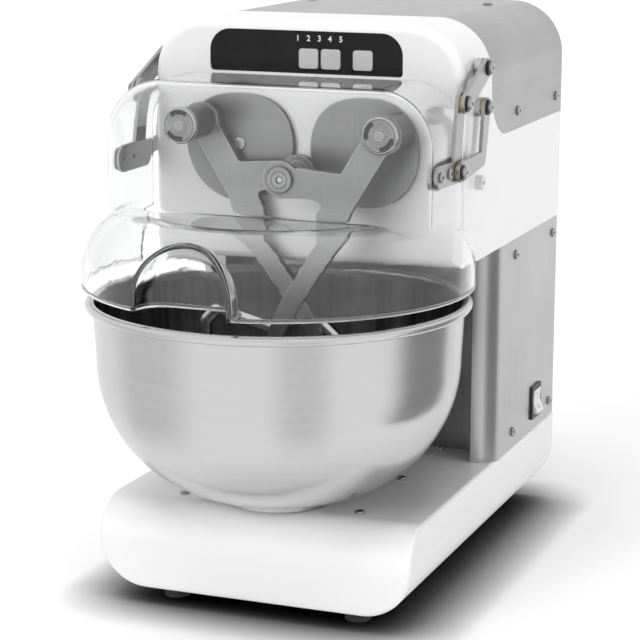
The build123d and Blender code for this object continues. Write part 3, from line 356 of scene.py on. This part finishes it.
# Bowl: polished outside; inside, darker and streaked, as painted shade and painted reflections
rim_h = 0.009
bowl_axis = at_node("bowl", (0, middle_of("bowl")[1], 0))
rim_z = at_node("bowl", (0, 0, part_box("bowl")[1][2])).z
bowl_shader = Shader("polished_bowl_steel", grey(0.78), metallic=1.0)
outward = bowl_shader.from_line((bowl_axis.x, bowl_axis.y, 0), (1, 1, 0))
bowl_normal = bowl_shader.add("ShaderNodeTexCoord").outputs["Normal"]
facing = bowl_shader.vector("DOT_PRODUCT", outward, bowl_normal).outputs["Value"]
inward = bowl_shader.math("LESS_THAN", facing, 0.0)
below_rim = bowl_shader.math("LESS_THAN", bowl_shader.axis("Z"), rim_z - rim_h)
inside = bowl_shader.math("MULTIPLY", inward, below_rim)
polish = bowl_shader.noise(1.0, 5.0, bowl_shader.stretched((3, 3, 260)))
compass = bowl_shader.vector("NORMALIZE", outward).outputs["Vector"]
# Painted shade and painted reflections: inside, vertical streaks of dark and light grey round the axis
painted_reflection_streaks = bowl_shader.noise(6.0, 3.0, compass)
bowl_tones = bowl_shader.add("ShaderNodeMix", data_type="RGBA")
bowl_shader.link(inside, bowl_tones.inputs["Factor"])
for socket, pattern, dark, light in ((mix_a, polish, 0.57, 0.59), (mix_b, painted_reflection_streaks, 0.03, 0.42)):
    tones = bowl_shader.ramp(pattern, grey(dark), grey(light))
    bowl_shader.link(tones.outputs["Color"], bowl_tones.inputs[socket])
bowl_shader.link(bowl_tones.outputs[mix_out], bowl_shader.bsdf.inputs["Base Color"])
inside_rougher = bowl_shader.math("MULTIPLY", inside, 0.13)
satin = bowl_shader.math("ADD", bowl_shader.remap(polish, 0.19, 0.21), inside_rougher)
bowl_shader.link(satin, bowl_shader.bsdf.inputs["Roughness"])
bowl_shader.bump(polish, strength=0.01, distance=0.0001)
bowl_shader.spun("Z", 0.5)
bowl_steel = bowl_shader.material

# Lid
lid_shader = Shader("clear_lid", (0.985, 0.99, 0.99), roughness=0.02)
lid_shader.set(Transmission_Weight=1.0, IOR=1.49)
ripple = lid_shader.noise(14.0, 1.0)
lid_shader.rough(ripple, 0.0, 0.03)
lid_shader.bump(ripple, strength=0.02, distance=0.002, edge=0.0012)
clear = lid_shader.material

# Plastic and plain metal
black_gloss = moulded("black_gloss_panel", grey(0.006), grey(0.01), 0.08, 0.14, 500.0, 0.01, 0.2)
black_plastic = moulded("black_plastic", grey(0.012), grey(0.02), 0.35, 0.5)
white_plastic = moulded("white_plastic", grey(0.82), grey(0.86), 0.3, 0.4)
button_grey = moulded("button_grey", grey(0.55), grey(0.6), 0.35, 0.45, 1200.0, 0.03)
rubber = moulded("foot_rubber", grey(0.02), grey(0.035), 0.7, 0.85, 600.0, 0.25)
board_green = moulded("board_green", (0.01, 0.07, 0.03), (0.02, 0.11, 0.04), 0.35, 0.5)
ink = moulded("printed_white", grey(0.85), grey(0.9), 0.4, 0.5, 600.0, 0.0)
mark_grey = moulded("mark_grey", grey(0.1), grey(0.14), 0.4, 0.5, 600.0, 0.0)
screw_steel = machined("screw_steel", (0.42, 0.42, 0.42), 0.2, 0.32)
machined_steel = machined("machined_steel", (0.5, 0.5, 0.51))
aluminium = machined("milled_aluminium", (0.62, 0.63, 0.65), 0.35, 0.5)
bronze = machined("bearing_bronze", (0.6, 0.42, 0.2), 0.3, 0.42)
washer_mix = two_tone("brass_and_black_washers", "X", 0.1435, (0.5, 0.36, 0.14), grey(0.015), 1.0, 0.0)
standoff_mix = two_tone("bumper_and_standoffs", "Z", 0.37, grey(0.8), grey(0.55), 0.0, 1.0)

looks = {
    white_paint: ["base_shell", "head_shell"],
    steel_along_y: ["head_cover"],
    steel_upright: ["column_wrap", "head_back_panel", "base_plate"],
    steel_column_shaded: ["column_front_plate"],
    steel_disc: ["left_crank_disc", "right_crank_disc"],
    arm_steel("left_arm"): ["left_arm"],
    arm_steel("right_arm"): ["right_arm"],
    steel_link: ["upper_links", "lower_links", "lid_brackets", "lid_clamp_plates"],
    bowl_steel: ["bowl"],
    clear: ["lid"],
    black_gloss: ["control_panel"],
    black_plastic: ["switch_frame", "power_inlet"],
    white_plastic: ["switch_rocker"],
    button_grey: ["button_1", "button_2", "button_3"],
    rubber: ["feet"],
    screw_steel: ["base_screws", "case_screws", "lid_screws", "head_pivot_screws", "lid_pivot_screws",
                  "lower_pivot_screws", "left_disc_screw", "right_disc_screw"],
    machined_steel: ["left_crank_shaft", "right_crank_shaft", "left_crank_pin", "right_crank_pin",
                     "left_gear", "right_gear", "drive_gear", "motor_pinion", "crank_bearings",
                     "turntable", "pivot_bearing"],
    aluminium: ["front_bearing_plate", "rear_bearing_plate", "motor", "column_frame"],
    bronze: ["left_arm_bush", "right_arm_bush", "bowl_bearing"],
    board_green: ["control_board"],
    washer_mix: ["head_pivot_washers", "lid_pivot_washers", "lower_pivot_washers"],
    standoff_mix: ["link_standoffs"],
}

# Lock knobs and pivot: turned faces with rings, the knobs with dark slots; the thin dark rings and the
# slots are painted shade
knob_bands = [(0.0046, 0.34), (0.0052, 0.05), (0.006, 0.4), (0.0125, 0.26), (0.0132, 0.1), (0.016, 0.45)]
for side in ("left", "right"):
    knob = f"{side}_lock_knob"
    looks[turned(f"{side}_knob_steel", knob, knob_bands, slot_depth=0.0011, slot_r=0.0128)] = [knob]
pin_bands = [(0.0022, 0.7), (0.003, 0.03), (0.0065, 0.34), (0.0072, 0.04), (0.0102, 0.32), (0.012, 0.15)]
looks[turned("turned_pivot_steel", "pivot_pin", pin_bands)] = ["pivot_pin"]

for material, names in looks.items():
    for name in names:
        mesh = nodes[name].data
        mesh.materials.clear()
        mesh.materials.append(material)
nodes["lid"].visible_shadow = False

# Digits above the buttons
panel_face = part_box("control_panel")[0][1] - 0.0001
digit_z = 0.4555
for number, x in enumerate((-0.0065, 0.0028, 0.0122, 0.0214, 0.0308), start=1):
    curve = bpy.data.curves.new(f"digit_{number}", "FONT")
    curve.body = str(number)
    curve.size = 0.0065
    curve.offset = 0.00012
    curve.align_x = "CENTER"
    curve.align_y = "CENTER"
    curve.extrude = 0.00005
    curve.materials.append(ink)
    digit = add_object(f"digit_{number}", curve)
    digit.location = (x, panel_face, digit_z)
    digit.rotation_euler = (math.radians(90), 0, 0)
    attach(digit, "machine")


# Pieces made in mesh code
def piece(name, verts, faces, material, body, slot, smooth=False):
    thing = add_mesh(name, verts, faces, material)
    if smooth:
        thing.data.shade_smooth()
    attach(thing, body)
    return thing


def rounded_path(points, radii, steps=10):
    """A level open path with each of its inner corners rounded."""
    path = [Vector(points[0])]
    for before, corner, after, radius in zip(points, points[1:], points[2:], radii):
        before, corner, after = Vector(before), Vector(corner), Vector(after)
        into, out = (corner - before).normalized(), (after - corner).normalized()
        start, end = corner - into * radius, corner + out * radius
        for step in range(steps + 1):
            t = step / steps
            path.append(start * (1 - t) ** 2 + corner * 2 * t * (1 - t) + end * t * t)
    path.append(Vector(points[-1]))
    return path


def tube(path, radius, around=10):
    """A round bead along an open path, closed at both ends."""
    verts, faces = [], []
    side = None
    for index, place in enumerate(path):
        ahead = (path[min(index + 1, len(path) - 1)] - path[max(index - 1, 0)]).normalized()
        if side is None:
            side = ahead.cross(Vector((0.1, -1, 0.2)))
        side = (side - ahead * side.dot(ahead)).normalized()
        out = ahead.cross(side)
        for turn in range(around):
            angle = 2 * math.pi * turn / around
            verts.append(place + side * radius * math.cos(angle) + out * radius * math.sin(angle))
    for index in range(len(path) - 1):
        for turn in range(around):
            a, b = index * around + turn, index * around + (turn + 1) % around
            faces.append((a, b, b + around, a + around))
    faces.append(tuple(range(around))[::-1])
    faces.append(tuple(len(verts) - around + turn for turn in range(around)))
    return verts, faces


# Lip along the lid's lower edge, in and out round its recess
lid_low, lid_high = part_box("lid")
lid_wall = 0.003
lip_r = 0.0019
lip_z = lid_low[2] + lip_r * 0.7
skirt_r = (lid_high[0] - lid_low[0]) / 2 - lid_wall / 2
bowl_middle = Vector((0, middle_of("bowl")[1], lip_z))
niche_right = 0.022 + lid_wall / 2
niche_left = -0.058 - lid_wall / 2
niche_back = -0.22187 + lid_wall / 2
back_angle = math.asin((lid_high[1] - bowl_middle.y) / skirt_r) - 0.02
arc_steps = 60


def on_skirt(angle):
    return bowl_middle + Vector((math.cos(angle), math.sin(angle), 0)) * skirt_r


right_end = -math.pi / 2 + math.asin(niche_right / skirt_r)
left_end = -math.pi / 2 + math.asin(niche_left / skirt_r)
right_turn, left_turn = right_end - back_angle, -math.pi - back_angle - left_end
right_arc = [on_skirt(back_angle + right_turn * i / arc_steps) for i in range(arc_steps)]
left_arc = [on_skirt(left_end + left_turn * i / arc_steps) for i in range(1, arc_steps + 1)]
turns = [right_arc[-1], on_skirt(right_end), Vector((niche_right, niche_back, lip_z)),
         Vector((niche_left, niche_back, lip_z)), on_skirt(left_end), left_arc[0]]
lip_path = right_arc[:-1] + rounded_path(turns, (0.003, 0.02, 0.02, 0.003)) + left_arc[1:]
piece("lid_lip", *tube(lip_path, lip_r), clear, "lid", "clear", smooth=True).visible_shadow = False

# Bead round the mouth of the recess, on the skirt and its shoulder
niche_x, spring_z = -0.018, lid_low[2] + 0.011
shoulder_r, shoulder_z = 0.048, lid_low[2] + 0.013
bead_r, mouth_r = 0.0014, 0.041
leg_steps, arch_steps = 4, 40


def on_shell(x, z):
    """A point of the skirt's outer face, which rounds in above the shoulder's start."""
    reach = skirt_r - shoulder_r + math.sqrt(shoulder_r**2 - max(z - shoulder_z, 0.0) ** 2)
    return Vector((x, bowl_middle.y - math.sqrt(reach**2 - x * x), z))


leg_h = spring_z - lip_z
mouth = [on_shell(niche_x + mouth_r, lip_z + leg_h * i / leg_steps) for i in range(leg_steps)]
for i in range(arch_steps + 1):
    angle = math.pi * i / arch_steps
    mouth.append(on_shell(niche_x + mouth_r * math.cos(angle), spring_z + mouth_r * math.sin(angle)))
mouth += [on_shell(niche_x - mouth_r, spring_z - leg_h * i / leg_steps) for i in range(1, leg_steps + 1)]
piece("recess_bead", *tube(mouth, bead_r), clear, "lid", "clear", smooth=True).visible_shadow = False

# I and O on the power switch
case_side_x, rocker_z = 0.135, 0.111
rocker_y = middle_of("switch_rocker")[1]
rocker_tilt = math.radians(8)
ridge_out = 0.0022
rise, run = 0.0109, 0.0023
slope = math.hypot(rise, run)
mark_bottom, mark_top = 0.00001, 0.00008
mark_along = 0.0055


def on_rocker(half, along, across, lift):
    """A point of the upper (+1) or lower (-1) half of the rocker's face."""
    out = ridge_out + run / slope * along + rise / slope * lift
    height = half * (rise / slope * along - run / slope * lift)
    return Vector((case_side_x + out * math.cos(rocker_tilt) - height * math.sin(rocker_tilt),
                   rocker_y + across,
                   rocker_z + out * math.sin(rocker_tilt) + height * math.cos(rocker_tilt)))


def oval(along_r, across_r, count=24):
    """A closed loop of (along, across) points round the middle of a mark."""
    angles = [2 * math.pi * i / count for i in range(count)]
    return [(mark_along + along_r * math.cos(a), across_r * math.sin(a)) for a in angles]


def mark(name, half, inner, outer):
    """A thin raised outline between two closed loops."""
    count = len(inner)
    verts = [on_rocker(half, along, across, lift) for lift in (mark_bottom, mark_top)
             for loop in (inner, outer) for along, across in loop]
    faces = []
    for i in range(count):
        j = (i + 1) % count
        # Loops 0 and 1 are the inner and outer ones below, 2 and 3 the same above
        for a, b, c, d in ((2, 3, 3, 2), (3, 1, 1, 3), (0, 2, 2, 0)):
            faces.append((a * count + i, b * count + i, c * count + j, d * count + j))
    piece(name, verts, faces, mark_grey, "switch_rocker", "white_plastic")


mark("mark_on", 1, oval(0.0001, 0.0001), oval(0.0019, 0.0004))
mark("mark_off", -1, oval(0.0013, 0.0013), oval(0.0019, 0.0019))

# Camera, from the fit to the photo
photo_px, focal_px, sensor = 640, 2176.5, 36.0
azimuth, elevation, roll = map(math.radians, (21.252, 12.273, 0.13))
behind = Vector((math.sin(azimuth) * math.cos(elevation),
                 -math.cos(azimuth) * math.cos(elevation),
                 math.sin(elevation)))
right = Vector((math.cos(azimuth), math.sin(azimuth), 0))
up = behind.cross(right)
right, up = right * math.cos(roll) + up * math.sin(roll), up * math.cos(roll) - right * math.sin(roll)
camera_data = bpy.data.cameras.new("camera")
camera_data.sensor_width = sensor
camera_data.lens = focal_px / photo_px * sensor
camera_data.clip_end = 50.0
camera = add_object("camera", camera_data)
camera.matrix_world = Matrix((
    (right.x, up.x, behind.x, 0.65347),
    (right.y, up.y, behind.y, -1.68887),
    (right.z, up.z, behind.z, 0.6074),
    (0, 0, 0, 1),
))
bpy.context.scene.camera = camera

# Floor: white to the camera, in reflections and through the lid, with a closer shadow by the base
floor_half = 8
bounce, white = 0.8, 1.1
floor_shader = Shader("pale_floor", grey(bounce))
matt = floor_shader.add("ShaderNodeBsdfDiffuse")
floor_shader.link(matt.outputs["BSDF"], floor_shader.tree.nodes["Material Output"].inputs["Surface"])
ray = floor_shader.add("ShaderNodeLightPath").outputs
seen = floor_shader.math("MAXIMUM", ray["Is Camera Ray"], ray["Is Glossy Ray"])
seen = floor_shader.math("MAXIMUM", seen, ray["Is Transmission Ray"])
open_sky = floor_shader.add("ShaderNodeAmbientOcclusion", samples=16)
open_sky.inputs["Distance"].default_value = 0.06
contact = floor_shader.math("POWER", open_sky.outputs["AO"], 2.4)
contact = floor_shader.math("MAXIMUM", contact, ray["Is Glossy Ray"])
mottle = floor_shader.math("MULTIPLY", floor_shader.noise(0.6, 2.0), 0.01)
pale = floor_shader.math("MULTIPLY", floor_shader.math("ADD", white, mottle), contact)
gain = floor_shader.math("MULTIPLY", seen, floor_shader.math("SUBTRACT", pale, bounce))
floor_shader.link(floor_shader.math("ADD", bounce, gain), matt.inputs["Color"])
floor_corners = [(x * floor_half, y * floor_half, 0) for x, y in ((-1, -1), (1, -1), (1, 1), (-1, 1))]
floor = add_mesh("floor", floor_corners, [(0, 1, 2, 3)], floor_shader.material)

# World: white to the camera, in reflections and through the lid, dim as a light
ambient = 0.25
world = bpy.data.worlds.new("studio")
bpy.context.scene.world = world
world.use_nodes = True
sky = world.node_tree
background = sky.nodes["Background"]
background.inputs["Color"].default_value = (1, 1, 1, 1)
ray = sky.nodes.new("ShaderNodeLightPath").outputs
seen = math_node(sky, "MAXIMUM", ray["Is Camera Ray"], ray["Is Glossy Ray"])
seen = math_node(sky, "MAXIMUM", seen, ray["Is Transmission Ray"])
seen = math_node(sky, "MULTIPLY", seen, math_node(sky, "LESS_THAN", ray["Diffuse Depth"], 0.5))
strength = math_node(sky, "ADD", ambient, math_node(sky, "MULTIPLY", seen, 1.0 - ambient))
sky.links.new(strength, background.inputs["Strength"])


# Lamps
def sun(name, energy, angle, towards, receivers):
    data = bpy.data.lights.new(name, "SUN")
    data.energy = energy
    data.angle = math.radians(angle)
    lamp = add_object(name, data)
    lamp.rotation_euler = Vector(towards).to_track_quat("-Z", "Y").to_euler()
    lamp.light_linking.receiver_collection = receivers
    return lamp


# Clear pieces show the white surroundings, and no lamp
clear_pieces = bpy.data.collections.new("clear_pieces")
for name in ("lid", "lid_lip", "recess_bead"):
    clear_pieces.objects.link(nodes[name] if name in nodes else bpy.data.objects[name])
for member in clear_pieces.collection_objects:
    member.light_linking.link_state = "EXCLUDE"

# A glint that only turned faces and the disc screws take
turned_pieces = bpy.data.collections.new("turned_pieces")
for name in ("left_lock_knob", "right_lock_knob", "pivot_pin", "left_disc_screw", "right_disc_screw"):
    turned_pieces.objects.link(nodes[name])
sun("glint", 0.35, 9, (0.45, 0.85, -0.3), turned_pieces)

# One soft lamp from above, lower fills from the front left and the right
for name, energy, angle, towards in (
    ("key", 1.75, 48, (0.06, 0.1, -1.0)),
    ("front_fill", 1.35, 40, (0.35, 0.93, -0.3)),
    ("right_fill", 1.15, 40, (-1.0, 0.25, -0.2)),
):
    lamp = sun(name, energy, angle, towards, clear_pieces)
    lamp.visible_glossy = lamp.visible_transmission = False


# Grey cards that only reflections see, for the soft bands in the steel
def card_shader(name, tone):
    shader = Shader(f"{name}_grey", grey(0.0), roughness=1.0)
    tones = shader.ramp(shader.noise(2.0, 1.0), grey(tone * 0.96), grey(tone))
    shader.link(tones.outputs["Color"], shader.bsdf.inputs["Emission Color"])
    shader.set(Emission_Strength=1.0, Specular_IOR_Level=0.0)
    return shader


def stand(name, rows, shader, place):
    """A card from rows of points, hidden from all but reflections."""
    wide = len(rows[0])
    verts = [point for row in rows for point in row]
    faces = [(i * wide + j, i * wide + j + 1, (i + 1) * wide + j + 1, (i + 1) * wide + j)
             for i in range(len(rows) - 1) for j in range(wide - 1)]
    card = add_mesh(name, verts, faces, shader.material)
    card.location = place
    card.visible_camera = card.visible_shadow = card.visible_diffuse = card.visible_transmission = False


# Curved cards on the floor round the bowl, turned up at the outside
card_lift = 0.002
card_inner, card_middle, card_outer, card_top = 0.15, 0.36, 0.6, 0.27
card_profile = ((card_inner, card_lift), (card_middle, card_lift),
                (card_outer, card_lift), (card_outer, card_top))
card_steps = 24
for name, bearing, spread, tone in (("left_card", -58, 38, 0.84), ("front_card", 35, 20, 0.84)):
    shader = card_shader(name, tone)
    x, y = shader.axis("X"), shader.axis("Y")
    here = shader.math("ARCTAN2", x, shader.math("MULTIPLY", y, -1.0))
    off = shader.math("ABSOLUTE", shader.math("SUBTRACT", here, math.radians(bearing)))
    squares = shader.math("ADD", shader.math("POWER", x, 2.0), shader.math("POWER", y, 2.0))
    away = shader.math("SQRT", squares)
    fade = shader.math("MULTIPLY",
                       shader.smooth_step(off, math.radians(spread), math.radians(spread * 0.3)),
                       shader.smooth_step(away, card_inner, card_middle))
    shader.link(fade, shader.bsdf.inputs["Alpha"])
    rows = []
    for column in range(card_steps + 1):
        angle = math.radians(bearing + spread * (2 * column / card_steps - 1))
        rows.append([(radius * math.sin(angle), -radius * math.cos(angle), height)
                     for radius, height in card_profile])
    stand(name, rows, shader, (0, bowl_middle.y, 0))

# Dark flag to the right of the column and the bowl's edge
flag_half, flag_h, flag_columns, flag_rows = 0.24, 0.34, 12, 5
flag = card_shader("right_flag", 0.34)
off = flag.math("ABSOLUTE", flag.axis("Y"))
fade = flag.math("MULTIPLY", flag.smooth_step(off, flag_half, flag_half / 2),
                 flag.smooth_step(flag.axis("Z"), flag_h, 0.26))
flag.link(fade, flag.bsdf.inputs["Alpha"])
rows = [[(0, flag_half * (2 * i / flag_columns - 1), card_lift + flag_h * j / flag_rows)
         for i in range(flag_columns + 1)] for j in range(flag_rows + 1)]
stand("right_flag", rows, flag, (0.36, 0.06, 0))

bpy.context.scene.view_settings.view_transform = "Standard"
